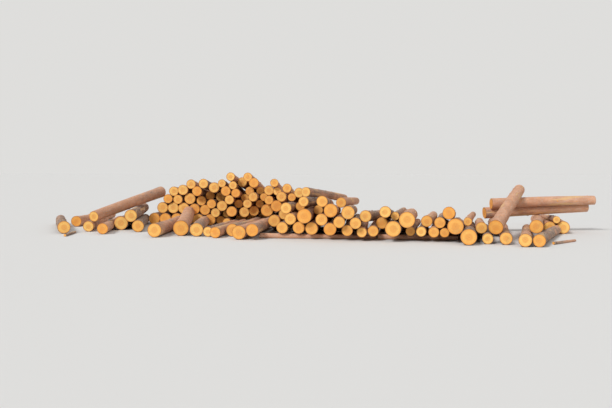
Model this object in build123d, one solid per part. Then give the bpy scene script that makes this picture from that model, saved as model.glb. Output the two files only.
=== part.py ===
from build123d import *
import math
import os

import numpy as np

# A heap of short sawn pine logs, piled loosely on the ground.
# A tall stack stands at the back left, a tail of single logs runs out to its left in front, and a
# lower heap runs to the right, most of it on thin bearer poles, with a crossed pair at the far end.
# Every log is a solid of its own, laid on the logs under it, so that any size may change.
# Frame: +X runs along the heap, +Y leads away from the side that shows most sawn ends, +Z is up.
# The origin is on the ground under the middle of the heap. Sizes are millimetres and degrees.

# Timber sizes
LOG_LENGTH = 3100.0            # the length that short pine logs are cut to, with their allowance
LENGTH_SPREAD = 60.0           # how far a log is longer or shorter than that
LONG_LOG_LENGTH = 3400.0       # the long log on the tail
CROSS_LOG_LENGTH = 2450.0      # the crossed pair at the right end
BEARER_LENGTH = 2450.0         # the thin poles under the middle of the lower heap
SHORT_BEARER_LENGTH = 1650.0   # the thin poles under its right part
LOOSE_POLE_LENGTH = 900.0      # thin poles lying on the ground in front
BEARER_DIAMETER = 110.0
LOOSE_POLE_DIAMETER = 60.0
TAPER = 0.010                  # diameter that a stem loses over each millimetre of its length
FLARE = 0.07                   # how much thicker the butt is than the stem above it
FLARE_LENGTH = 350.0           # how far up the stem the flare of the butt reaches
SWEEP = 14.0                   # how far the middle of a stem bows out of line
CUT_SLANT = 2.0                # how far a saw cut is out of square

# Where the bearers lie, back from the front of the lower heap
FRONT_BEARERS = 0.23 * LOG_LENGTH
REAR_BEARERS = 0.86 * LOG_LENGTH

# How round the solids are
STEM_SIDES = 14                # flats around a log
POLE_SIDES = 8                 # flats around a thin pole
GOLDEN_ANGLE = 137.508         # turns bows, cuts and flats from log to log, so that none repeats

# How the logs lie
CLEARANCE = 0.35               # gap left where one log rests on another
CLOSE_UP_REACH = 90.0          # a log lying free on the ground lies against one that is this near
BALANCE = 0.46                 # where a log balances, as a share of its length from the butt
ROLL_LIMIT = 0.45              # how far a log may roll into a hollow, as a share of its diameter
ROLL_SLOPE = 0.03              # the least slope that a log rolls down
ROLL_STEPS = (50.0, 25.0, 12.0, 6.0)
NESTLE_STEPS = (4.0, 1.5, 0.5)
NESTLE_DEPTH = 30.0            # only the logs that lie so near under a log hold it in its hollow
AXIS_SAMPLES = 97              # points along a log where its hollow is felt out
STRETCHES = 60                 # lengths of a log that may each hold one point of contact
SETTLE_ROUNDS = 6              # times that a log's rest is worked out anew


class Log:
    """One log or pole: where its near end lies, its turn, and the sizes of its stem."""

    def __init__(self, x, y, diameter, turn, length=None, butt_near=True, sides=STEM_SIDES):
        self.plan = np.array([x, y], dtype=float)
        self.diameter = diameter
        self.turn = math.radians(turn)
        self.length = length
        self.butt_near = butt_near
        self.sides = sides

    def grow(self, index):
        """Works out the rings of corners around the stem in its own frame: sideways, along, up."""
        spin = math.radians(GOLDEN_ANGLE * index)
        if self.length is None:
            self.length = LOG_LENGTH + LENGTH_SPREAD * math.sin(spin)
        length = self.length
        is_log = self.sides == STEM_SIDES
        flare = FLARE if is_log else 0.0
        bow = SWEEP if is_log else 0.0
        from_butt = np.array([0.0, FLARE_LENGTH, 0.6 * length, length])
        if self.butt_near:
            stem = self.diameter / (1.0 + flare)
        else:
            stem = self.diameter + TAPER * length
        diameters = stem - TAPER * from_butt
        diameters[0] = stem * (1.0 + flare)
        share = from_butt / length
        offset = 4.0 * bow * share * (1.0 - share)
        along = from_butt
        if not self.butt_near:
            along = length - from_butt[::-1]
            diameters = diameters[::-1]
            offset = offset[::-1]
        step = 2.0 * math.pi / self.sides
        rounding = math.sqrt(step / math.sin(step))
        angles = spin + step * np.arange(self.sides)
        radii = 0.5 * rounding * diameters[:, None]
        side = radii * np.cos(angles) + (offset * math.cos(spin))[:, None]
        up = radii * np.sin(angles) + (offset * math.sin(spin))[:, None]
        back = np.repeat(along[:, None], self.sides, axis=1)
        self.rings = np.stack([side, back, up], axis=-1)
        self.rings[0] = slanted_cut(self.rings[0], self.rings[1], 2.0 * spin)
        self.rings[-1] = slanted_cut(self.rings[-1], self.rings[-2], 3.0 * spin)
        self.corners = self.rings.reshape(-1, 3)
        self.edges, self.triangles = skin(len(along), self.sides)
        self.balance = length * (BALANCE if self.butt_near else 1.0 - BALANCE)
        self.stations = np.linspace(0.0, length, AXIS_SAMPLES)
        self.station_radii = np.interp(self.stations, along, 0.5 * diameters)
        thin = 0.5 * (stem - TAPER * length)
        self.end_radii = (0.5 * stem, thin) if self.butt_near else (thin, 0.5 * stem)

    def place(self, plan, turn, near_height, slope):
        """Puts the near end over a point of the ground, at a height, with a rise per length."""
        self.plan = plan
        self.turn = turn
        level = math.sqrt(1.0 - slope * slope)
        self.near = np.array([plan[0], plan[1], near_height])
        self.ahead = np.array([math.sin(turn) * level, math.cos(turn) * level, slope])
        self.across = np.array([math.cos(turn), -math.sin(turn), 0.0])
        self.far = self.near + self.length * self.ahead
        frame = np.stack([self.across, self.ahead, np.cross(self.across, self.ahead)])
        self.points = self.corners @ frame + self.near

    def move(self, step):
        """Shifts the log without turning it."""
        self.plan = self.plan + step[:2]
        self.near = self.near + step
        self.far = self.far + step
        self.points = self.points + step

    def side(self, below):
        """The corners, edges and triangles of the underside or of the upper side."""
        axis = self.near[2] + self.corners[:, 1] * self.ahead[2]
        rise = self.points[:, 2] - axis
        margin = 0.12 * self.diameter
        seen = rise < margin if below else rise > -margin
        return (self.points[seen], self.points[self.edges[seen[self.edges].any(axis=1)]],
                self.points[self.triangles[seen[self.triangles].any(axis=1)]])

    def solid(self):
        """The stem as a closed shell: two sawn ends, and flats from ring to ring."""
        rings = [[tuple(point) for point in ring] for ring in self.points.reshape(self.rings.shape)]
        outlines = [rings[0], rings[-1]]
        for ring, following in zip(rings, rings[1:]):
            for k in range(self.sides):
                outlines.append([ring[k - 1], ring[k], following[k], following[k - 1]])
        return Solid(Shell([Face(Wire.make_polygon(outline, close=True)) for outline in outlines]))


def slanted_cut(end, inner, lean):
    """Slides the corners of an end along the stem's own lines, onto a saw cut out of square."""
    slant = math.tan(math.radians(CUT_SLANT))
    run = inner - end
    off_axis = end[:, 0] * math.cos(lean) + end[:, 2] * math.sin(lean)
    growth = run[:, 0] * math.cos(lean) + run[:, 2] * math.sin(lean)
    share = slant * off_axis / (run[:, 1] - slant * growth)
    return end + share[:, None] * run


def skin(ring_count, sides):
    """Numbers the edges and triangles of a stem's skin."""
    edges = []
    triangles = []
    for ring in range(ring_count):
        for k in range(sides):
            here = ring * sides + k
            beside = ring * sides + (k + 1) % sides
            edges.append((here, beside))
            if ring + 1 < ring_count:
                edges.append((here, here + sides))
                triangles.append((here, beside, here + sides))
                triangles.append((beside, beside + sides, here + sides))
    for first in (0, (ring_count - 1) * sides):
        for k in range(1, sides - 1):
            triangles.append((first, first + k, first + k + 1))
    return np.array(edges), np.array(triangles)


def crossings(upper_edges, lower_edges):
    """Where edges of an upper log pass over edges of a lower one: plan points and gaps."""
    a, b = upper_edges[:, 0], upper_edges[:, 1]
    c, d = lower_edges[:, 0], lower_edges[:, 1]
    ab = (b - a)[:, None, :]
    cd = (d - c)[None, :, :]
    ac = c[None, :, :] - a[:, None, :]
    cross = ab[..., 0] * cd[..., 1] - ab[..., 1] * cd[..., 0]
    cross = np.where(np.abs(cross) < 1e-9, np.nan, cross)
    t = (ac[..., 0] * cd[..., 1] - ac[..., 1] * cd[..., 0]) / cross
    u = (ac[..., 0] * ab[..., 1] - ac[..., 1] * ab[..., 0]) / cross
    rows, columns = np.nonzero((t >= 0.0) & (t <= 1.0) & (u >= 0.0) & (u <= 1.0))
    over = a[rows] + t[rows, columns][:, None] * (b - a)[rows]
    under = c[columns, 2] + u[rows, columns] * (d - c)[columns, 2]
    return over[:, :2], over[:, 2] - under


def corners_at_faces(corners, triangles, sign):
    """Where corners lie over faces (sign 1) or under them (sign -1): plan points and gaps."""
    a = triangles[:, 0]
    ab = triangles[:, 1] - a
    ac = triangles[:, 2] - a
    area = ab[:, 0] * ac[:, 1] - ab[:, 1] * ac[:, 0]
    area = np.where(np.abs(area) < 1e-9, np.nan, area)
    ap = corners[:, None, :] - a[None, :, :]
    v = (ap[..., 0] * ac[:, 1] - ap[..., 1] * ac[:, 0]) / area
    w = (ab[:, 0] * ap[..., 1] - ab[:, 1] * ap[..., 0]) / area
    rows, columns = np.nonzero((v >= 0.0) & (w >= 0.0) & (v + w <= 1.0))
    height = a[columns, 2] + v[rows, columns] * ab[columns, 2] + w[rows, columns] * ac[columns, 2]
    return corners[rows, :2], sign * (corners[rows, 2] - height)


def meetings(upper, lower):
    """All the places where the underside of one log lies over the upper side of another."""
    corners, edges, triangles = upper
    lower_corners, lower_edges, lower_triangles = lower
    pairs = (crossings(edges, lower_edges), corners_at_faces(corners, lower_triangles, 1.0),
             corners_at_faces(lower_corners, triangles, -1.0))
    return np.concatenate([plan for plan, _ in pairs]), np.concatenate([gap for _, gap in pairs])


def contacts(log, upper_sides):
    """Every place where the log could touch the ground or another log: plan points and gaps."""
    underside = log.side(below=True)
    plans = [underside[0][:, :2]]
    gaps = [underside[0][:, 2]]
    for upper_side in upper_sides:
        plan, gap = meetings(underside, upper_side)
        plans.append(plan)
        gaps.append(gap - CLEARANCE)
    return np.concatenate(plans), np.concatenate(gaps)


def overlap_in_plan(log, other, margin):
    """Whether the boxes of two logs overlap as seen from above."""
    low = np.minimum(log.near, log.far)[:2] - 0.6 * log.diameter - margin
    high = np.maximum(log.near, log.far)[:2] + 0.6 * log.diameter + margin
    other_low = np.minimum(other.near, other.far)[:2] - 0.6 * other.diameter
    other_high = np.maximum(other.near, other.far)[:2] + 0.6 * other.diameter
    return bool((low < other_high).all() and (other_low < high).all())


def resting_line(places, heights, balance):
    """The lowest line over all the points that is held on both sides of the balance point."""
    left = places <= balance
    a = places[left][:, None]
    ha = heights[left][:, None]
    b = places[~left][None, :]
    hb = heights[~left][None, :]
    held = ha + (hb - ha) * (balance - a) / (b - a)
    row, column = np.unravel_index(np.argmax(held), held.shape)
    slope = (hb[0, column] - ha[row, 0]) / (b[0, column] - a[row, 0])
    return ha[row, 0] - slope * a[row, 0], slope


def highest_of_each_stretch(places, heights, length):
    """Thins many points of contact out to the ones that can hold the log."""
    stretch = np.clip((places / length * STRETCHES).astype(int), 0, STRETCHES - 1)
    order = np.lexsort((heights, stretch))
    last = np.append(np.diff(stretch[order]) != 0, True)
    return order[last]


def lie_down(log, upper_sides, rounds):
    """Lowers the log where it is, until it is held on both sides of its balance point."""
    for _ in range(rounds):
        plans, gaps = contacts(log, upper_sides)
        ahead = log.ahead[:2]
        places = (plans - log.plan) @ ahead / (ahead @ ahead)
        heights = log.near[2] + places * log.ahead[2] - gaps
        keep = highest_of_each_stretch(places, heights, log.length)
        near_height, slope = resting_line(places[keep], heights[keep], log.balance)
        log.place(log.plan, log.turn, near_height, math.sin(math.atan(slope)))
    return near_height + slope * log.balance


def felt_rest(log, others, plan, turn):
    """A quick estimate of where a log comes to rest, from round sections along its axis."""
    ahead = np.array([math.sin(turn), math.cos(turn)])
    points = plan + log.stations[:, None] * ahead
    heights = log.station_radii.copy()
    if others:
        base = np.array([other.near[:2] for other in others])
        run = np.array([other.far[:2] for other in others]) - base
        span = np.hypot(run[:, 0], run[:, 1])[:, None]
        run = run / span
        drop = np.array([[other.near[2], other.far[2]] for other in others])
        radii = np.array([other.end_radii for other in others])
        away = points[None, :, :] - base[:, None, :]
        along = away[..., 0] * run[:, :1] + away[..., 1] * run[:, 1:]
        offset = away[..., 0] * run[:, 1:] - away[..., 1] * run[:, :1]
        share = np.clip(along / span, 0.0, 1.0)
        past = np.abs(along - share * span)
        crossing = np.abs(ahead[0] * run[:, 1:] - ahead[1] * run[:, :1])
        own = np.sqrt(np.maximum(0.0, log.station_radii ** 2 - (past / np.maximum(crossing, 0.02)) ** 2))
        reach = np.where(own > 0.0, own + radii[:, :1] + (radii[:, 1:] - radii[:, :1]) * share, 0.0)
        rise = reach ** 2 - offset ** 2
        axis = drop[:, :1] + (drop[:, 1:] - drop[:, :1]) * share
        held = np.where(rise > 0.0, axis + np.sqrt(np.maximum(rise, 0.0)), 0.0)
        heights = np.maximum(heights, held.max(axis=0))
    near_height, slope = resting_line(log.stations, heights, log.balance)
    return near_height, slope


def sidle(height_at, shift, steps, limit):
    """Moves each end of a log sideways, by ever smaller steps, for as long as the log comes down."""
    best = height_at(shift)
    for step in steps:
        moved = True
        while moved:
            moved = False
            for near_step, far_step in ((1, 1), (-1, -1), (1, 0), (-1, 0), (0, 1), (0, -1)):
                trial = shift + step * np.array([near_step, far_step])
                if np.abs(trial).max() > limit:
                    continue
                height = height_at(trial)
                if height < best - ROLL_SLOPE * step:
                    best = height
                    shift = trial
                    moved = True
    return shift


def settle(log, placed):
    """Lays a log down on the ground and on the logs placed before it, in the nearest hollow."""
    limit = ROLL_LIMIT * log.diameter
    plan = log.plan
    turn = log.turn
    across = np.array([math.cos(turn), -math.sin(turn)])
    log.place(plan, turn, 0.0, 0.0)
    others = [other for other in placed if overlap_in_plan(log, other, limit)]

    def shifted(shift):
        return plan + shift[0] * across, turn + math.atan((shift[1] - shift[0]) / log.length)

    def felt_height(shift):
        near_height, slope = felt_rest(log, others, *shifted(shift))
        return near_height + slope * log.balance

    def true_height(shift):
        log.place(*shifted(shift), log.near[2], log.ahead[2])
        return lie_down(log, upper_sides, 2)

    shift = sidle(felt_height, np.zeros(2), ROLL_STEPS, limit)
    near_height, slope = felt_rest(log, others, *shifted(shift))
    log.place(*shifted(shift), near_height, math.sin(math.atan(slope)))
    others = [other for other in others if overlap_in_plan(log, other, 2.0 * NESTLE_STEPS[0])]
    all_sides = [other.side(below=False) for other in others]
    lie_down(log, all_sides, 2)
    upper_sides = [side for side in all_sides if gap_above(log, side) < NESTLE_DEPTH]
    if upper_sides:
        shift = sidle(true_height, shift, NESTLE_STEPS, limit + 2.0 * NESTLE_STEPS[0])
        log.place(*shifted(shift), log.near[2], log.ahead[2])
    lie_down(log, all_sides, SETTLE_ROUNDS)
    log.move(np.array([0.0, 0.0, -contacts(log, all_sides)[1].min()]))
    return all(gap_above(log, side) > 1.0 for side in all_sides)


def gap_above(log, upper_side):
    """The least height of a log over the upper side of another."""
    return meetings(log.side(below=True), upper_side)[1].min(initial=math.inf)


def gap_beside(log, other, towards):
    """How far a log may slide sideways before it meets another."""
    basis = np.stack([log.ahead, np.cross(log.across, log.ahead), -towards * log.across], axis=1)
    one = log.points @ basis
    two = other.points @ basis
    _, gaps = meetings((one, one[log.edges], one[log.triangles]),
                       (two, two[other.edges], two[other.triangles]))
    return gaps.min(initial=CLOSE_UP_REACH)


def close_up(log, placed):
    """Lays a log that lies free on the ground against the nearest log beside it."""
    best = CLOSE_UP_REACH
    step = np.zeros(3)
    for other in placed:
        if overlap_in_plan(log, other, CLOSE_UP_REACH):
            for towards in (-1.0, 1.0):
                gap = gap_beside(log, other, towards)
                if 0.0 < gap < best:
                    best = gap
                    step = towards * (gap - CLEARANCE) * log.across
    log.move(step)


def long_log(x, y, diameter, turn):
    return Log(x, y, diameter, turn, length=LONG_LOG_LENGTH, butt_near=False)


def cross_log(x, y, diameter, turn):
    return Log(x, y, diameter, turn, length=CROSS_LOG_LENGTH)


def bearer(x, y, turn, length=BEARER_LENGTH):
    return Log(x, y, BEARER_DIAMETER, turn, length=length, sides=POLE_SIDES)


def loose_pole(x, y, turn):
    return Log(x, y, LOOSE_POLE_DIAMETER, turn, length=LOOSE_POLE_LENGTH, sides=POLE_SIDES)


# The heap, course by course and in the order of laying. Each log is given by where its near end
# lies, across and back, by the diameter of that end, and by its turn from straight back towards +X.
HEAP = {
    "bearer_poles": [
        bearer(-1000, FRONT_BEARERS, 89), bearer(-1000, REAR_BEARERS, 91),
        bearer(1480, FRONT_BEARERS, 89, SHORT_BEARER_LENGTH),
        bearer(1490, REAR_BEARERS, 90, SHORT_BEARER_LENGTH),
    ],
    "tail_ground_logs": [
        Log(-5540, 1300, 290, -24), Log(-6050, 3300, 270, -3), Log(-5130, 1900, 250, -13),
        Log(-4630, 1250, 250, -12), Log(-4540, 2450, 330, -10), Log(-4010, 1900, 280, -14),
        Log(-3250, 600, 310, -5),
    ],
    "front_ground_logs": [
        Log(-2160, 900, 220, 1), Log(-1860, 600, 240, 1), Log(-1370, 300, 300, 1),
        Log(-1130, 200, 270, 0), Log(-1700, 1000, 285, 2),
    ],
    "rear_course_1": [
        Log(-4300, 4300, 300, -4), Log(-3990, 4250, 300, -4), Log(-3680, 4250, 300, -4),
        Log(-3370, 4200, 300, -4), Log(-3060, 4000, 300, -4), Log(-2760, 4050, 290, -4),
        Log(-2560, 4200, 240, -4), Log(-2080, 4250, 290, -4), Log(-1790, 4300, 280, -4),
        Log(-1490, 4150, 340, -4), Log(-1150, 3560, 340, -4),
    ],
    "middle_bearer_course": [
        Log(-510, 600, 250, 0), Log(-160, 600, 260, -1), Log(120, 500, 270, -2),
        Log(510, 400, 270, -1), Log(870, 300, 235, -2), Log(1170, 200, 210, -1),
    ],
    "right_bearer_course": [
        Log(1470, 300, 230, 1), Log(1800, 100, 330, 3), Log(2150, 400, 200, 4),
        Log(2360, 200, 210, 4), Log(2560, 200, 220, 4), Log(2770, 200, 195, 4),
    ],
    "right_ground_logs": [
        Log(3250, -400, 325, 5), Log(3640, -100, 220, 5), Log(3980, -200, 250, 6),
        Log(4285, -600, 260, 9), Log(4600, -600, 250, 16), Log(5280, 2500, 280, 3),
        Log(5590, 2450, 290, 4),
    ],
    "junction_logs": [
        Log(-880, 1500, 270, 0), Log(-700, 1600, 240, 0), Log(3980, 1500, 270, 6),
    ],
    "tail_upper_logs": [
        Log(-4350, 2300, 300, -12), long_log(-5000, 2000, 250, 11), Log(-2500, 900, 300, -10),
        Log(-2950, 1000, 350, -8),
    ],
    "rear_course_2": [
        Log(-4150, 4300, 290, -4), Log(-3840, 4250, 290, -4), Log(-3530, 4150, 290, -4),
        Log(-3220, 4120, 280, -4), Log(-2980, 4100, 270, -4), Log(-2710, 3850, 235, -4),
        Log(-2336, 3700, 215, -4), Log(-2520, 4200, 200, -4), Log(-1940, 3700, 260, -4),
        Log(-1640, 3600, 250, -4), Log(-2190, 3600, 264, -4), Log(-1350, 3100, 303, -4),
        Log(-1070, 2700, 275, -4),
    ],
    "middle_course_2": [
        Log(-350, 600, 250, -1), Log(310, 400, 255, -2), Log(1030, 100, 240, -1),
        Log(760, 200, 245, -1), Log(0, 400, 315, -2),
    ],
    "right_course_2": [
        Log(3020, 0, 330, 5), Log(1600, 600, 250, 2), Log(1360, 350, 250, 5),
        Log(2090, 100, 335, 4), Log(1840, 300, 180, 3), Log(2660, 200, 230, 4),
        Log(3440, 200, 235, 5), Log(4520, 200, 280, 12), Log(5430, 2400, 165, 4),
    ],
    "rear_course_3": [
        Log(-3990, 4200, 240, -4), Log(-3690, 4100, 240, -4), Log(-3380, 4150, 290, -4),
        Log(-3110, 4200, 250, -4), Log(-2880, 3900, 240, -4), Log(-2500, 3700, 265, -4),
        Log(-1990, 3900, 220, -4), Log(-2180, 3600, 235, -4), Log(-1790, 3400, 220, -4),
        Log(-1510, 3600, 200, -4), Log(-1100, 2900, 220, -3), Log(-880, 2300, 240, -4),
    ],
    "middle_course_3": [
        Log(-540, 700, 245, 0), Log(-183, 1300, 207, 0), Log(590, 300, 290, -1),
        Log(950, 200, 280, 0), Log(120, 1100, 210, -1), Log(330, 400, 240, -1),
    ],
    "right_course_3": [
        Log(1660, 100, 240, 3), Log(2430, 450, 240, 8), Log(2860, 200, 260, 5),
        Log(3230, 700, 180, 7),
    ],
    "rear_course_4": [
        Log(-3850, 4200, 250, -4), Log(-3570, 4100, 270, -4), Log(-3270, 4000, 255, -4),
        Log(-2990, 4400, 240, -4), Log(-2680, 4300, 240, -4), Log(-2400, 3700, 250, -4),
        Log(-1890, 4000, 200, -4), Log(-2020, 3600, 225, -4), Log(-1630, 3300, 235, -4),
        Log(-1400, 3500, 200, -4), Log(-1270, 3100, 242, -4), Log(-1010, 2900, 200, -4),
    ],
    "middle_top_logs": [
        Log(-550, 1800, 185, -2), Log(-700, 2200, 215, -3), Log(40, 600, 220, 2),
        Log(-380, 1600, 225, -2), Log(-180, 1400, 220, 12), Log(560, 1400, 230, 3),
    ],
    "rear_course_5": [
        Log(-3420, 4100, 245, -4), Log(-3110, 4000, 250, -4), Log(-2820, 3900, 270, -4),
        Log(-2500, 3800, 205, -3), Log(-2200, 3700, 210, -4), Log(-1750, 3900, 225, -4),
        Log(-1550, 3700, 200, -4), Log(-1060, 2800, 200, -4),
    ],
    "rear_top_logs": [
        Log(-1910, 4200, 250, -3), Log(-1700, 3400, 245, -1), Log(-2130, 3700, 220, -2),
        Log(-1880, 3600, 225, -2),
    ],
    "cross_logs": [
        cross_log(3880, 2560, 260, 77), cross_log(3900, 2845, 260, 77), cross_log(3960, 2690, 250, 77),
    ],
    "leaning_log": [
        Log(3750, 0, 300, 15),
    ],
    "loose_poles": [
        loose_pole(-5230, 600, -8), loose_pole(4900, -50, 38),
    ],
}


def build_heap():
    """Lays every log, centres the heap over the origin, and returns its size."""
    placed = []
    for logs in HEAP.values():
        for log in logs:
            log.grow(len(placed))
            if settle(log, placed):
                close_up(log, placed)
            placed.append(log)
    low = np.min([log.points.min(axis=0) for log in placed], axis=0)
    high = np.max([log.points.max(axis=0) for log in placed], axis=0)
    middle = np.array([0.5 * (low[0] + high[0]), 0.5 * (low[1] + high[1]), low[2]])
    for log in placed:
        log.move(-middle)
    return high - low, middle


def main():
    os.makedirs("parts", exist_ok=True)
    size, middle = build_heap()
    for name, logs in HEAP.items():
        export_step(Compound(children=[log.solid() for log in logs]), f"parts/{name}.step")
    print("logs and poles:", sum(len(logs) for logs in HEAP.values()))
    print("size:", np.round(size, 1), "laid frame's middle:", np.round(middle, 1))


main()
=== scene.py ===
# %% [markdown]
# # A heap of short sawn pine logs
# These pine stems were trimmed of their branches, sawn short and dropped in a loose heap. The CAD
# model gives every log as a solid with flats, laid on its neighbours. This lesson dresses each of
# those solids: a bowed stem with bark, two sawn ends with growth rings, and trimmed knots. The first
# step loads the solids as a frame that stays fixed.

# %% Load the fixed frame
import math

import bpy
import numpy as np
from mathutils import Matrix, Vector


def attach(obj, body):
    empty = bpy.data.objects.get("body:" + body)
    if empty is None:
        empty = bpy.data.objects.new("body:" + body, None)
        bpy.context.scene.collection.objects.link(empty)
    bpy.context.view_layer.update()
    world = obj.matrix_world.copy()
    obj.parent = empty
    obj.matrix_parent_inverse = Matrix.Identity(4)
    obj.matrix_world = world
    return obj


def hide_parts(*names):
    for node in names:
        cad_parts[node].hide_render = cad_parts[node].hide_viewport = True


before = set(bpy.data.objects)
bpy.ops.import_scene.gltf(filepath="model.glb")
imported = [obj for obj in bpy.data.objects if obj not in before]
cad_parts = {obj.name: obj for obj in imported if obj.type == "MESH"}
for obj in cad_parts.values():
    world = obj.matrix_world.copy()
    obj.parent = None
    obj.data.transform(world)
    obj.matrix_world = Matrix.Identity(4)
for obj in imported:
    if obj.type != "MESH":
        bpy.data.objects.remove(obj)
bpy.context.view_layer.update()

# %% [markdown]
# ## Where the camera stands
# The eye is 1.6 metres up, and about 16 metres in front of the nearest sawn ends. The lens is longer
# than the one that the layout takes for the photograph, so that the heap fills the picture. A longer
# lens from the same place keeps the perspective, which a step closer would not.

# %% Camera
EYE = Vector((2.157, -20.059, 1.6))
HEAP_MIDDLE = Vector((0.0, -0.6, 0.62))
FOCAL_LENGTH = 49.0

lens = bpy.data.cameras.new("camera")
lens.lens = FOCAL_LENGTH
camera = bpy.data.objects.new("camera", lens)
camera.location = EYE
camera.rotation_euler = (HEAP_MIDDLE - EYE).to_track_quat("-Z", "Y").to_euler()
bpy.context.scene.collection.objects.link(camera)
bpy.context.scene.camera = camera
print("camera to heap:", round((HEAP_MIDDLE - EYE).length, 2), "m")

# %% [markdown]
# ## Reading the logs out of the solids
# One CAD node holds a whole course of logs that don't touch, so each log is one connected part of
# its mesh. The corners are merged where faces meet, and then a label spreads along the edges until
# every corner of a log carries the same one.

# %% Split a course into its logs
MERGE_DECIMALS = 5    # corners that agree to a hundredth of a millimetre are the same


def separate_logs(course):
    """Returns the corners of each log of a course."""
    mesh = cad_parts[course].data
    places = np.empty(len(mesh.vertices) * 3)
    mesh.vertices.foreach_get("co", places)
    rounded = np.round(places.reshape(-1, 3), MERGE_DECIMALS)
    corners, merged = np.unique(rounded, axis=0, return_inverse=True)
    merged = merged.ravel()
    ends = np.empty(len(mesh.edges) * 2, dtype=int)
    mesh.edges.foreach_get("vertices", ends)
    ends = merged[ends.reshape(-1, 2)]
    label = np.arange(len(corners))
    spreading = True
    while spreading:
        lowest = label[ends].min(axis=1)
        following = label.copy()
        np.minimum.at(following, ends[:, 0], lowest)
        np.minimum.at(following, ends[:, 1], lowest)
        spreading = bool((following != label).any())
        label = following
    return [corners[label == k] for k in np.unique(label)]


print({course: len(separate_logs(course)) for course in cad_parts})

# %% [markdown]
# ## The form of a stem
# A stem isn't a cylinder. It flares at the butt, tapers towards the top and bows a little, and the
# saw leaves its ends slightly out of square. The solid carries all of this in four rings of corners.
# The centres of the rings give the bow, their girths give flare and taper, and each end ring gives
# the tilt of its saw cut.

# %% Read a stem
RINGS = 4
LEAST_LOG_SIDES = 10    # a thin pole has fewer flats than this, and a log has more


class Stem:
    """One log: its own axes, its bowed centre line, its girths and the tilt of its two cuts."""

    def __init__(self, corners):
        middle = corners.mean(axis=0)
        ahead = np.linalg.svd(corners - middle, full_matrices=False)[2][0]
        order = np.argsort((corners - middle) @ ahead)
        rings = corners[order].reshape(RINGS, -1, 3)
        if ring_radius(rings[0], ahead) < ring_radius(rings[-1], ahead):
            rings = rings[::-1]
            ahead = -ahead
        across = np.cross(ahead, (0.0, 0.0, 1.0))
        across = across / np.linalg.norm(across)
        self.axes = np.stack([across, np.cross(ahead, across), ahead])
        centres = rings.mean(axis=1)
        self.origin = centres[0]
        local = (centres - self.origin) @ self.axes.T
        self.stations = local[:, 2]
        self.length = local[-1, 2]
        self.bow = [np.polyfit(local[:, 2], local[:, k], 2) for k in (0, 1)]
        sides = rings.shape[1]
        step = 2.0 * math.pi / sides
        rounding = math.sqrt(step / math.sin(step))
        self.radii = np.array([ring_radius(ring, ahead) for ring in rings]) / rounding
        self.tilts = []
        for ring, centre in ((rings[0], centres[0]), (rings[-1], centres[-1])):
            offsets = (ring - centre) @ self.axes.T
            self.tilts.append(np.linalg.lstsq(offsets[:, :2], offsets[:, 2], rcond=None)[0])
        self.thin = sides < LEAST_LOG_SIDES

    def world(self, local):
        """Turns points of the log's own axes into points of the room, none of them under the floor."""
        placed = self.origin + local @ self.axes
        placed[..., 2] = np.maximum(placed[..., 2], 0.0)
        return placed

    def centre_line(self, along):
        return np.stack([np.polyval(self.bow[0], along), np.polyval(self.bow[1], along)], axis=-1)


def ring_radius(ring, ahead):
    """The mean distance of a ring's corners from its centre, measured square to the stem."""
    offsets = ring - ring.mean(axis=0)
    offsets = offsets - np.outer(offsets @ ahead, ahead)
    return float(np.linalg.norm(offsets, axis=1).mean())


stems = {course: [Stem(corners) for corners in separate_logs(course)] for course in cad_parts}
everything = [stem for logs in stems.values() for stem in logs]
print("logs and poles:", len(everything))
print("butt diameters:", sorted(round(2000 * stem.radii[0]) for stem in everything)[::12])

# %% [markdown]
# ## Collecting a course
# A course becomes one mesh, with two finishes: bark and sawn wood. Each point also remembers where
# it lies in its own log, because bark and rings follow the stem and not the room. Two vectors do
# that: its place in the log, and a set of numbers for the log's age, its tone and how far the point
# is from the pith.

# %% A mesh that grows by rings
BARK = 0
WOOD = 1


class Course:
    """Gathers rings of points into one mesh, with what each point knows about its log."""

    def __init__(self):
        self.points = []
        self.places = []
        self.kinds = []
        self.faces = []
        self.finishes = []
        self.count = 0

    def add(self, points, places, kinds, finish, inside_out=False, lid=False, base=False):
        """Adds a tube of rings, and closes its last ring with a lid or its first with a base."""
        rows, columns = points.shape[:2]
        number = self.count + np.arange(rows * columns).reshape(rows, columns)
        beside = np.roll(number, -1, axis=1)
        faces = np.stack([number[:-1], beside[:-1], beside[1:], number[1:]], axis=-1).reshape(-1, 4)
        if lid:
            last = number[-1][::-1] if inside_out else number[-1]
            self.faces.append(last.tolist())
            self.finishes.append(finish)
        if base:
            first = number[0] if inside_out else number[0][::-1]
            self.faces.append(first.tolist())
            self.finishes.append(finish)
        if inside_out:
            faces = faces[:, ::-1]
        self.faces.extend(faces.tolist())
        self.finishes.extend([finish] * len(faces))
        self.points.append(points.reshape(-1, 3))
        self.places.append(places.reshape(-1, 3))
        self.kinds.append(kinds.reshape(-1, 3))
        self.count += rows * columns

    def build(self, name, finishes):
        """Makes the mesh object of the course and returns it."""
        mesh = bpy.data.meshes.new(name)
        mesh.from_pydata(np.concatenate(self.points).tolist(), [], self.faces)
        for finish in finishes:
            mesh.materials.append(finish)
        mesh.polygons.foreach_set("material_index", self.finishes)
        mesh.polygons.foreach_set("use_smooth", [finish == BARK for finish in self.finishes])
        for title, values in (("log_place", self.places), ("log_kind", self.kinds)):
            attribute = mesh.attributes.new(title, "FLOAT_VECTOR", "POINT")
            attribute.data.foreach_set("vector", np.concatenate(values).ravel())
        mesh.update()
        piece = bpy.data.objects.new(name, mesh)
        bpy.context.scene.collection.objects.link(piece)
        return piece


def describe(points, age, tone, share):
    """Gives every point its log's age and tone, and its share of the way out from the pith."""
    kinds = np.empty_like(points)
    kinds[..., 0] = age
    kinds[..., 1] = tone
    kinds[..., 2] = share
    return kinds


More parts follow.
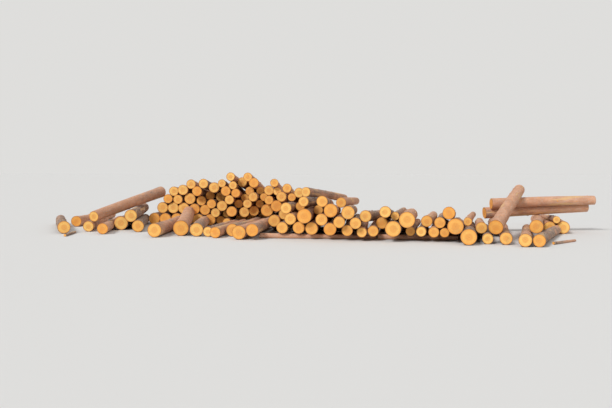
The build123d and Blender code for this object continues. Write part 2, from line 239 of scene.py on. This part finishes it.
# %% [markdown]
# ## Shader maths in plain Python
# Bark and wood are worked out by node trees. Written by hand, a sum of masks takes a dozen lines, so
# a small class wraps a socket and lets Python's own operators add the Math nodes. Everything else,
# from noise to colour mixing, comes through one method that takes the node's type, its settings and
# its inputs.

# %% Sockets with operators
class Flow:
    """A socket of a finish. Sums and products of flows add the nodes that work them out."""

    def __init__(self, finish, socket):
        self.finish = finish
        self.socket = socket

    def calculate(self, operation, *inputs):
        return self.finish.node("ShaderNodeMath", {"operation": operation}, dict(enumerate(inputs)))

    def __add__(self, other):
        return self.calculate("ADD", self, other)

    def __sub__(self, other):
        return self.calculate("SUBTRACT", self, other)

    def __rsub__(self, other):
        return self.calculate("SUBTRACT", other, self)

    def __mul__(self, other):
        return self.calculate("MULTIPLY", self, other)

    def __abs__(self):
        return self.calculate("ABSOLUTE", self)

    def sine(self):
        return self.calculate("SINE", self)

    def fade(self, low, high):
        """Goes smoothly from 0 at low to 1 at high, whichever of them is greater."""
        turned = high < low
        settings = {"interpolation_type": "SMOOTHSTEP"}
        inputs = {"Value": self, "From Min": min(low, high), "From Max": max(low, high)}
        inputs["To Min"] = 1.0 if turned else 0.0
        inputs["To Max"] = 0.0 if turned else 1.0
        return self.finish.node("ShaderNodeMapRange", settings, inputs)


class Finish:
    """A material under construction."""

    def __init__(self, name):
        self.material = bpy.data.materials.new(name)
        self.material.use_nodes = True
        self.tree = self.material.node_tree
        self.surface = self.tree.nodes["Principled BSDF"]

    def node(self, kind, settings, inputs, output=0):
        """Adds a node, sets its settings first and then its inputs, and returns one output."""
        made = self.tree.nodes.new(kind)
        for key, value in settings.items():
            setattr(made, key, value)
        for key, value in inputs.items():
            self.feed(find_socket(made.inputs, key), value)
        return Flow(self, find_socket(made.outputs, output))

    def feed(self, socket, value):
        if isinstance(value, Flow):
            self.tree.links.new(value.socket, socket)
        else:
            socket.default_value = value

    def surface_input(self, name, value):
        self.feed(self.surface.inputs[name], value)

    def attribute(self, name):
        return self.node("ShaderNodeAttribute", {"attribute_name": name}, {}, "Vector")

    def split(self, vector):
        """Returns the three numbers of a vector as flows."""
        first = self.node("ShaderNodeSeparateXYZ", {}, {0: vector})
        return [Flow(self, output) for output in first.socket.node.outputs]

    def vector_maths(self, operation, inputs):
        return self.node("ShaderNodeVectorMath", {"operation": operation}, inputs)

    def stretch(self, vector, scale):
        return self.vector_maths("MULTIPLY", {0: vector, 1: scale})

    def noise(self, vector, scale, detail, roughness, output=0):
        inputs = {"Vector": vector, "Scale": scale, "Detail": detail, "Roughness": roughness}
        return self.node("ShaderNodeTexNoise", {}, inputs, output)

    def cells(self, vector, scale, feature, output):
        """Cells of a random pattern: the distance to their edges, or a colour for each."""
        inputs = {"Vector": vector, "Scale": scale}
        return self.node("ShaderNodeTexVoronoi", {"feature": feature}, inputs, output)

    def mix(self, factor, first, second):
        """Mixes two colours, from the first at 0 to the second at 1."""
        inputs = {"Factor": factor, "A": first, "B": second}
        return self.node("ShaderNodeMix", {"data_type": "RGBA"}, inputs, "Result")

    def bump(self, height, distance):
        inputs = {"Height": height, "Distance": distance, "Strength": 1.0}
        return self.node("ShaderNodeBump", {}, inputs, "Normal")


def find_socket(sockets, key):
    """Finds a socket by its place, or by its name among those that the settings leave in use."""
    in_use = [socket for socket in sockets if not socket.is_unavailable]
    if isinstance(key, int):
        return in_use[key]
    return next(socket for socket in in_use if socket.name == key)


def colour(red, green, blue):
    return (red, green, blue, 1.0)


# %% [markdown]
# ## Bark
# Pine bark changes up the tree. Near the butt it is grey-brown and cracked into plates; higher up it
# is thin, orange-pink and flaky. Each log carries an age, and noise along the stem shifts it, so one
# log may show both kinds. Handling scrapes long pale streaks, where the bast shows. Cells stretched
# along the stem make the plates, and the lines between them are the cracks. The cracks are drawn
# nearly black, partly with the darker bark inside them and partly with painted shade.

# %% Colours of bark
THIN_ORANGE = colour(0.80, 0.36, 0.19)
THIN_PALE = colour(0.82, 0.52, 0.35)
THIN_BLUSH = colour(0.56, 0.25, 0.14)
THICK_DARK = colour(0.20, 0.155, 0.135)
THICK_PALE = colour(0.47, 0.355, 0.29)
FLAKE_GREY = colour(0.60, 0.47, 0.40)
TONE_RED = colour(0.45, 0.19, 0.10)
# The next colour is for the cracks between plates: partly the bark's own darker colour, partly painted
# shade inside them.
CRACK_AND_SHADE_DARK = colour(0.065, 0.034, 0.022)
FLAKE_SHADOW = colour(0.24, 0.10, 0.05)
DUST = colour(0.66, 0.50, 0.38)
BAST = colour(0.78, 0.50, 0.24)

# %% Bark finish
PLATES_IN_A_METRE = 30.0
FLAKES_IN_A_METRE = 85.0
PLATE_STRETCH = (1.0, 1.0, 0.34)       # a plate is about three times as long as it is wide
PATCH_STRETCH = (1.0, 1.0, 0.45)
BLUSH_STRETCH = (1.0, 1.0, 0.5)
SCRAPE_STRETCH = (13.0, 13.0, 0.9)     # scraped streaks are narrow and long
SPREAD_STRETCH = (1.0, 1.0, 0.6)
PLATE_WANDER = 0.055                   # how far noise shifts the edges of the plates, in metres
BARK_RELIEF = 0.007                    # the depth of the bark's bump, in metres


def make_bark():
    bark = Finish("pine_bark")
    place = bark.attribute("log_place")
    age, tone, _ = bark.split(bark.attribute("log_kind"))

    wander = bark.noise(place, 9.0, 3.0, 0.5, "Color")
    shift = bark.vector_maths("SCALE", {0: wander, "Scale": PLATE_WANDER})
    bent = bark.vector_maths("ADD", {0: place, 1: shift})
    grain = bark.stretch(bent, PLATE_STRETCH)
    plate_edge = bark.cells(grain, PLATES_IN_A_METRE, "DISTANCE_TO_EDGE", "Distance")
    flake_edge = bark.cells(grain, FLAKES_IN_A_METRE, "DISTANCE_TO_EDGE", "Distance")
    flake_tint = bark.split(bark.cells(grain, FLAKES_IN_A_METRE, "F1", "Color"))[0]
    patches = bark.noise(bark.stretch(place, PATCH_STRETCH), 5.0, 3.0, 0.6)
    blush = bark.noise(bark.stretch(place, BLUSH_STRETCH), 8.0, 2.0, 0.6)
    fine = bark.noise(grain, 120.0, 4.0, 0.65)

    old = (age * 1.5 + patches * 2.4 - 1.45).fade(0.20, 0.85)
    # The cracks between the plates are painted nearly black: the bark's own darker colour in them, and
    # painted shade.
    crack_and_shade = plate_edge.fade(0.11, 0.02) * old
    flake_gap = flake_edge.fade(0.09, 0.01) * (1.0 - old * 0.5)
    streak = bark.noise(bark.stretch(place, SCRAPE_STRETCH), 1.0, 3.0, 0.55)
    spread = bark.noise(bark.stretch(place, SPREAD_STRETCH), 2.2, 1.0, 0.5)
    scraped = (streak + spread * 0.55 + tone * 0.10).fade(0.93, 0.99)

    thick = bark.mix(patches.fade(0.35, 0.65), THICK_DARK, THICK_PALE)
    thin = bark.mix(flake_tint, THIN_ORANGE, THIN_PALE)
    thin = bark.mix(blush.fade(0.38, 0.62) * 0.6, thin, THIN_BLUSH)
    body = bark.mix(old, thin, thick)
    body = bark.mix(flake_tint.fade(0.55, 1.0) * 0.45, body, FLAKE_GREY)
    body = bark.mix(tone.fade(0.0, 1.0) * 0.20, body, TONE_RED)
    body = bark.mix(crack_and_shade * 0.9, body, CRACK_AND_SHADE_DARK)
    body = bark.mix(flake_gap * 0.38, body, FLAKE_SHADOW)
    body = bark.mix(fine.fade(0.35, 0.7) * 0.35, body, DUST)
    body = bark.mix(scraped * 0.8, body, BAST)

    relief = plate_edge.fade(0.0, 0.16) * old * 0.7 + flake_edge.fade(0.0, 0.12) * 0.22
    relief = relief + fine * 0.30 - scraped * 0.35
    bark.surface_input("Base Color", body)
    bark.surface_input("Roughness", 0.93 - scraped * 0.25)
    bark.surface_input("Normal", bark.bump(relief, BARK_RELIEF))
    bark.surface_input("Specular IOR Level", 0.25)
    print("bark nodes:", len(bark.tree.nodes))
    return bark.material


bark_finish = make_bark()

# %% [markdown]
# ## Sawn ends
# A fresh cut through pine is bright yellow-orange, with thin darker rings of late wood, a slightly
# redder heart, a few drying cracks that run out from the pith and are drawn dark with painted shade,
# and a dark line of bark around it. The distance from the pith is stored on the mesh and the pith
# lies off centre, so the rings do too.

# %% Colours of sawn wood
SAP_ORANGE = colour(0.88, 0.37, 0.06)
SAP_YELLOW = colour(0.97, 0.63, 0.19)
SAP_BRIGHT = colour(0.97, 0.58, 0.16)
HEART_RED = colour(0.78, 0.31, 0.07)
RIM_ORANGE = colour(0.76, 0.26, 0.035)
LATE_WOOD_BROWN = colour(0.62, 0.24, 0.045)
STAIN_BROWN = colour(0.58, 0.30, 0.11)
PITH_BROWN = colour(0.30, 0.12, 0.04)
# The next colour is painted shade inside the drying cracks, which are not cut into the mesh.
DRYING_CRACK_SHADE = colour(0.16, 0.065, 0.022)
CUT_BARK = colour(0.22, 0.095, 0.045)

# %% Sawn wood finish
BARK_SHARE = 0.957                 # share of the way out from the pith at which the bark begins
BARK_LINE = 0.012                  # how softly it begins, as a share of the way out
RING_TURNS = 150.0                 # radians that the wave of the rings turns on its way: 24 rings
RING_WAVER = 0.045                 # how far noise pushes a ring, as a share of the way out
RAY_TWIST = 1.7                    # how fast the drying cracks change along the log
KERF_STRETCH = (22.0, 340.0, 22.0)    # the saw's marks are fine one way and long the other
WOOD_RELIEF = 0.0015               # the depth of the cut's bump, in metres


def make_sawn_wood():
    wood = Finish("sawn_pine")
    place = wood.attribute("log_place")
    _, tone, share = wood.split(wood.attribute("log_kind"))

    blotch = wood.noise(place, 11.0, 3.0, 0.55)
    waver = wood.noise(place, 24.0, 2.0, 0.5)
    late_wood = ((share + waver * RING_WAVER) * RING_TURNS).sine().fade(0.25, 1.0)
    stain = wood.noise(place, 6.5, 4.0, 0.65).fade(0.50, 0.72)
    heart = (share + blotch * 0.16).fade(0.62, 0.46)
    skin = (share + waver * BARK_LINE).fade(BARK_SHARE, BARK_SHARE + BARK_LINE)

    outward = wood.vector_maths("NORMALIZE", {0: wood.stretch(place, (1.0, 1.0, 0.0))})
    twist = wood.stretch(place, (0.0, 0.0, RAY_TWIST))
    ray = wood.noise(wood.vector_maths("ADD", {0: outward, 1: twist}), 5.5, 2.0, 0.5)
    drying = abs(ray - 0.5).fade(0.007, 0.002) * share.fade(0.04, 0.18) * share.fade(0.92, 0.6)
    drying = drying * blotch.fade(0.50, 0.62) * tone.fade(0.15, 0.6)

    face = wood.mix(tone, SAP_ORANGE, SAP_YELLOW)
    face = wood.mix(blotch.fade(0.35, 0.75) * 0.5, face, SAP_BRIGHT)
    face = wood.mix(heart * 0.55, face, HEART_RED)
    face = wood.mix(share.fade(0.74, 0.95) * 0.62, face, RIM_ORANGE)
    face = wood.mix(late_wood * 0.46, face, LATE_WOOD_BROWN)
    face = wood.mix(stain * 0.35, face, STAIN_BROWN)
    face = wood.mix(share.fade(0.045, 0.02) * 0.8, face, PITH_BROWN)
    # Painted shade: the drying cracks are drawn as dark lines.
    face = wood.mix(drying * 0.85, face, DRYING_CRACK_SHADE)
    face = wood.mix(skin, face, CUT_BARK)

    kerf = wood.noise(wood.stretch(place, KERF_STRETCH), 1.0, 1.0, 0.5)
    relief = kerf * 0.5 + late_wood * 0.25 - drying * 1.2
    wood.surface_input("Base Color", face)
    wood.surface_input("Roughness", skin * 0.3 + 0.62)
    wood.surface_input("Normal", wood.bump(relief, WOOD_RELIEF))
    wood.surface_input("Specular IOR Level", 0.3)
    print("wood nodes:", len(wood.tree.nodes))
    return wood.material


wood_finish = make_sawn_wood()

# %% [markdown]
# ## The stem's skin
# The stem is a tube of rings. Its radius follows the solid's, with a few low waves around and along,
# and a gentle swelling wherever a whorl of branches grew. The last rings draw in a little, because
# the saw chews the edge of the bark. The tube stays about as wide as the solid, and where a log lies
# on the floor its bark is pressed flat, as the solid's lowest face is.

# %% Shape one stem
AROUND = 36
ALONG = 76
POLE_AROUND = 12
POLE_ALONG = 24
END_BAND = 0.01              # share of the length between the last two rings
EDGE_SET_BACK = 0.004        # how far the saw's chewed edge lies behind the cut
EDGE_SHARE = 0.985           # the edge's girth as a share of the stem's
SKIN_SHARE = 0.992           # the stem's mean girth as a share of the solid's
WAVES = 7
WAVE_SHARE = 0.016           # height of the waves, as a share of the girth
WAVES_AROUND = (1, 5)
WAVES_ALONG = (1.5, 14.0)    # radians in a metre
WAVE_STARTS = (0.0, 6.28)
SWELLING_SHARE = 0.008       # how much a whorl swells the stem, as a share of the girth
SWELLING_REACH = 0.05
FIRST_WHORL = (0.15, 0.45)
YEARS_GROWTH = (0.28, 0.46)
BARE_TOP = 0.12              # no whorl grows nearer than this to the top end
CUT_BLEND = 12.0             # the tilt of a cut fades out over a twelfth of the length


def whorls_of(stem, chance):
    """Where the branches grew: one whorl for every year's growth."""
    places = []
    along = chance.uniform(*FIRST_WHORL)
    while along < stem.length - BARE_TOP:
        places.append(along)
        along += chance.uniform(*YEARS_GROWTH)
    return places


def shape_stem(stem, chance, whorls):
    """Returns the angles, the distances along and the radii of a stem's grid of points."""
    around = POLE_AROUND if stem.thin else AROUND
    along = POLE_ALONG if stem.thin else ALONG
    turn = np.linspace(0.0, 2.0 * math.pi, around, endpoint=False)
    share = np.linspace(0.0, 1.0, along - 2)
    share[0] += END_BAND
    share[-1] -= END_BAND
    reach = np.concatenate([[0.0], share, [1.0]]) * stem.length
    radius = np.interp(reach, stem.stations, stem.radii)[:, None] * np.ones(around)
    wave = np.zeros_like(radius)
    for _ in range(WAVES):
        swing = chance.integers(*WAVES_AROUND) * turn + chance.uniform(*WAVES_ALONG) * reach[:, None]
        wave += np.cos(swing + chance.uniform(*WAVE_STARTS)) / WAVES
    radius = radius * (SKIN_SHARE + WAVE_SHARE * wave)
    for whorl in whorls:
        swelling = np.exp(-((reach - whorl) / SWELLING_REACH) ** 2)
        radius = radius * (1.0 + SWELLING_SHARE * swelling)[:, None]
    radius[[0, -1]] *= EDGE_SHARE
    return turn, reach, radius


def skin_points(stem, turn, reach, radius):
    """Places the grid in the log's own axes, with both ends on their saw cuts."""
    centre = stem.centre_line(reach)
    start_tilt, end_tilt = stem.tilts
    sideways = centre[:, :1] + radius * np.cos(turn)
    upward = centre[:, 1:] + radius * np.sin(turn)
    start = radius * (np.cos(turn) * start_tilt[0] + np.sin(turn) * start_tilt[1])
    end = radius * (np.cos(turn) * end_tilt[0] + np.sin(turn) * end_tilt[1])
    share = (reach / stem.length)[:, None]
    near_start = np.clip(1.0 - share * CUT_BLEND, 0.0, 1.0)
    near_end = np.clip(1.0 - (1.0 - share) * CUT_BLEND, 0.0, 1.0)
    forward = reach[:, None] + start * near_start + end * near_end
    forward[0] += EDGE_SET_BACK
    forward[-1] -= EDGE_SET_BACK
    return np.stack([sideways, upward, forward], axis=-1)


# %% [markdown]
# ## Ends, knots and whole logs
# The sawn face is a disc of rings that closes in on the pith, which never lies quite in the middle.
# Trimmed branches leave low oval stubs in whorls. Each is a closed body with its root sunk into the
# stem and its cut face on top. A stub is left out wherever another log or the floor lies close to
# the bark, since it would have been crushed there.

# %% What makes a log its own
FIRST_SEED = 700
NOISE_STRIDE = 3.7    # how far apart two logs lie in the noise, so that none share a pattern


class Nature:
    """A log's own seeded chance, its place in the noise, its age and its tone."""

    def __init__(self, number):
        self.chance = np.random.default_rng(FIRST_SEED + number)
        self.offset = (0.0, 0.0, NOISE_STRIDE * number)
        self.age = self.chance.uniform(0.0, 1.0)
        self.tone = self.chance.uniform(0.0, 1.0)


# %% Sawn faces
FACE_SHARES = np.array([1.0, 0.958, 0.80, 0.55, 0.28, 0.03])
PITH_SHIFT = (0.02, 0.12)    # how far the pith lies off centre, as a share of the radius


def add_sawn_face(course, stem, nature, grid, at_end):
    """Closes one end of a stem with a disc whose rings close in on the pith."""
    tone = nature.chance.uniform(0.0, 1.0)
    lean = nature.chance.uniform(0.0, 2.0 * math.pi)
    side = -1 if at_end else 0
    rim = grid[side]
    tilt = stem.tilts[side]
    station = stem.length if at_end else 0.0
    centre = stem.centre_line(station)
    shift = stem.radii[side] * nature.chance.uniform(*PITH_SHIFT)
    pith = centre + shift * np.array([math.cos(lean), math.sin(lean)])
    flat = pith + (rim[None, :, :2] - pith) * FACE_SHARES[:, None, None]
    forward = station + (flat - centre) @ tilt
    forward[0] = rim[:, 2]
    points = np.concatenate([flat, forward[..., None]], axis=-1)
    places = points + nature.offset
    places[..., :2] = flat - pith
    kinds = describe(points, nature.age, tone, FACE_SHARES[:, None])
    course.add(stem.world(points), places, kinds, WOOD, inside_out=not at_end, lid=True)


# %% Trimmed knots
KNOT_SIDES = 8
KNOT_ROOM = 0.014              # a knot is left out where a log or the floor comes nearer than this
KNOT_RINGS = ((1.3, -1.0), (1.12, 0.35), (0.78, 1.0))    # spread by width, and rise by height
KNOT_OVAL = 1.35               # how much longer a knot is along the stem than across it
KNOT_SINK = 0.002              # a knot is set out from this far under the stem's girth
KNOT_FEELER = 0.006            # how far over a knot the room for it is tested
KNOT_WIDTH = (0.009, 0.017)
KNOT_HEIGHT = (0.35, 0.7)      # as a share of its width
POLE_KNOT_SHARE = 0.5
KNOTS_IN_A_WHORL = (2, 6)
WHORL_PARTS = 4.3              # a turn holds this many knots, so that none lie quite in line
WHORL_SWAY = 0.3               # radians that a knot strays around the stem
WHORL_STRAY = 0.03             # metres that it strays along it
KNOT_END_ROOM = 0.06
CUT_DOME = 0.0005              # how far the middle of a knot's cut stands proud
CUT_INNER = 0.25               # the inner ring of that cut, as a share of the outer one
CUT_SHARES = np.array([[0.6], [0.1]])
CUT_TONE = 0.25                # the tone of that cut, as a share of the log's


def clear_of_others(stem, point):
    """Whether this point is clear of every other log and of the floor."""
    for other in everything:
        if other is stem:
            continue
        local = other.axes @ (point - other.origin)
        if -KNOT_ROOM < local[2] < other.length + KNOT_ROOM:
            away = local[:2] - other.centre_line(local[2])
            if np.linalg.norm(away) < np.interp(local[2], other.stations, other.radii) + KNOT_ROOM:
                return False
    return point[2] > KNOT_ROOM


def add_knot(course, stem, nature, root, outward, sideways, width, height):
    """Adds one stub: a closed body of bark, and a low disc of wood on its cut."""
    turn = np.linspace(0.0, 2.0 * math.pi, KNOT_SIDES, endpoint=False)
    oval = np.outer(np.cos(turn), sideways) + np.outer(KNOT_OVAL * np.sin(turn), (0.0, 0.0, -1.0))
    rings = []
    for spread, rise in KNOT_RINGS:
        rings.append(root + oval * width * spread + (rise * height + KNOT_SINK) * outward)
    stub = np.array(rings)
    kinds = describe(stub, nature.age, nature.tone, 1.0)
    course.add(stem.world(stub), stub + nature.offset, kinds, BARK, inside_out=True, base=True)
    tip = stub[-1]
    middle = tip.mean(axis=0) + CUT_DOME * outward
    cut = np.array([tip, middle + CUT_INNER * (tip - middle)])
    kinds = describe(cut, nature.age, CUT_TONE * nature.tone, CUT_SHARES)
    course.add(stem.world(cut), cut + nature.offset, kinds, WOOD, inside_out=True, lid=True)


def add_knots(course, stem, nature, whorls):
    """Sets low oval stubs around every whorl, and returns how many there was room for."""
    chance = nature.chance
    added = 0
    for whorl in whorls:
        first = chance.uniform(0.0, 2.0 * math.pi)
        for k in range(chance.integers(*KNOTS_IN_A_WHORL)):
            angle = first + 2.0 * math.pi * k / WHORL_PARTS + chance.uniform(-WHORL_SWAY, WHORL_SWAY)
            along = min(whorl + chance.uniform(-WHORL_STRAY, WHORL_STRAY), stem.length - KNOT_END_ROOM)
            width = chance.uniform(*KNOT_WIDTH) * (POLE_KNOT_SHARE if stem.thin else 1.0)
            height = width * chance.uniform(*KNOT_HEIGHT)
            radius = np.interp(along, stem.stations, stem.radii)
            outward = np.array([math.cos(angle), math.sin(angle), 0.0])
            sideways = np.array([-math.sin(angle), math.cos(angle), 0.0])
            root = np.append(stem.centre_line(along), along) + (radius - KNOT_SINK) * outward
            if clear_of_others(stem, stem.world(root + (height + KNOT_FEELER) * outward)):
                add_knot(course, stem, nature, root, outward, sideways, width, height)
                added += 1
    return added


# %% [markdown]
# ## Building the courses
# Every course replaces its CAD node and rides with the heap. Each log has its own seeded chance, so
# the heap comes out the same each time, while no two logs share their bark, tone or knots.

# %% Build every course
YOUNGER_TOP = 0.35    # how much younger the bark is at the top end than at the butt


def add_log(course, stem, number):
    """Adds one whole log to its course, and returns how many knots it has."""
    nature = Nature(number)
    whorls = whorls_of(stem, nature.chance)
    turn, reach, radius = shape_stem(stem, nature.chance, whorls)
    grid = skin_points(stem, turn, reach, radius)
    age = nature.age - YOUNGER_TOP * (reach / stem.length)[:, None]
    kinds = describe(grid, age, nature.tone, 1.0)
    course.add(stem.world(grid), grid + nature.offset, kinds, BARK)
    for at_end in (False, True):
        add_sawn_face(course, stem, nature, grid, at_end)
    return add_knots(course, stem, nature, whorls)


number = 0
knots = 0
for name, logs in stems.items():
    course = Course()
    for stem in logs:
        knots += add_log(course, stem, number)
        number += 1
    piece = course.build("dressed_" + name, (bark_finish, wood_finish))
    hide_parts(name)
    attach(piece, "root")
    triangles = sum(len(face) - 2 for face in course.faces)
    print(piece.name, "logs:", len(logs), "triangles:", triangles)
print("logs:", number, "knots:", knots)

# %% [markdown]
# ## Floor and light
# The heap lies on a plain pale floor. Three lamps of parallel light reach all of it evenly: the key
# from the front left models the round stems, a weak one opens the right side, and another the back.
# The even glow of the room keeps the hollows readable. Past the floor's edge the camera sees a
# backdrop close to the tone of the lit floor, so that only a faint line shows where they meet.

# %% Floor
FLOOR_HALF = 90.0
FLOOR_COLOUR = colour(0.74, 0.735, 0.72)
FLOOR_CORNERS = ((-1, -1), (1, -1), (1, 1), (-1, 1))


def make_floor():
    finish = Finish("pale_floor")
    finish.surface_input("Base Color", FLOOR_COLOUR)
    finish.surface_input("Roughness", 0.9)
    mesh = bpy.data.meshes.new("floor")
    corners = [(x * FLOOR_HALF, y * FLOOR_HALF, 0.0) for x, y in FLOOR_CORNERS]
    mesh.from_pydata(corners, [], [(0, 1, 2, 3)])
    mesh.materials.append(finish.material)
    floor = bpy.data.objects.new("floor", mesh)
    bpy.context.scene.collection.objects.link(floor)


make_floor()

# %% Lamps
def add_lamp(name, place, strength, softness):
    """Adds a lamp of parallel light, from a place towards the heap, with soft shadow edges."""
    lamp = bpy.data.lights.new(name, "SUN")
    lamp.energy = strength
    lamp.angle = math.radians(softness)
    stand = bpy.data.objects.new(name, lamp)
    stand.location = place
    stand.rotation_euler = (-Vector(place)).to_track_quat("-Z", "Y").to_euler()
    bpy.context.scene.collection.objects.link(stand)


add_lamp("key_lamp", (-7.0, -12.0, 11.0), 2.2, 16.0)
add_lamp("fill_lamp", (12.0, -9.0, 7.0), 0.35, 60.0)
add_lamp("back_lamp", (3.0, 14.0, 12.0), 0.25, 60.0)
print("lamps:", [lamp.name for lamp in bpy.data.lights])

# %% The glow of the room, and the backdrop that only the camera sees
ROOM_GLOW = 0.46
GLOW_COLOUR = colour(1.0, 1.0, 1.0)
BACKDROP = colour(0.735, 0.73, 0.715)


def light_room():
    world = bpy.data.worlds.new("room")
    world.use_nodes = True
    bpy.context.scene.world = world
    room = world.node_tree
    glow = room.nodes["Background"]
    glow.inputs["Color"].default_value = GLOW_COLOUR
    glow.inputs["Strength"].default_value = ROOM_GLOW
    backdrop = room.nodes.new("ShaderNodeBackground")
    backdrop.inputs["Color"].default_value = BACKDROP
    backdrop.inputs["Strength"].default_value = 1.0
    seen = room.nodes.new("ShaderNodeLightPath")
    choice = room.nodes.new("ShaderNodeMixShader")
    room.links.new(seen.outputs["Is Camera Ray"], choice.inputs[0])
    room.links.new(glow.outputs[0], choice.inputs[1])
    room.links.new(backdrop.outputs[0], choice.inputs[2])
    room.links.new(choice.outputs[0], room.nodes["World Output"].inputs["Surface"])


light_room()

# %% [markdown]
# ## Finishing
# Standard colour keeps every finish as it was written.

# %% Colour view
bpy.context.scene.view_settings.view_transform = "Standard"
bpy.context.view_layer.update()
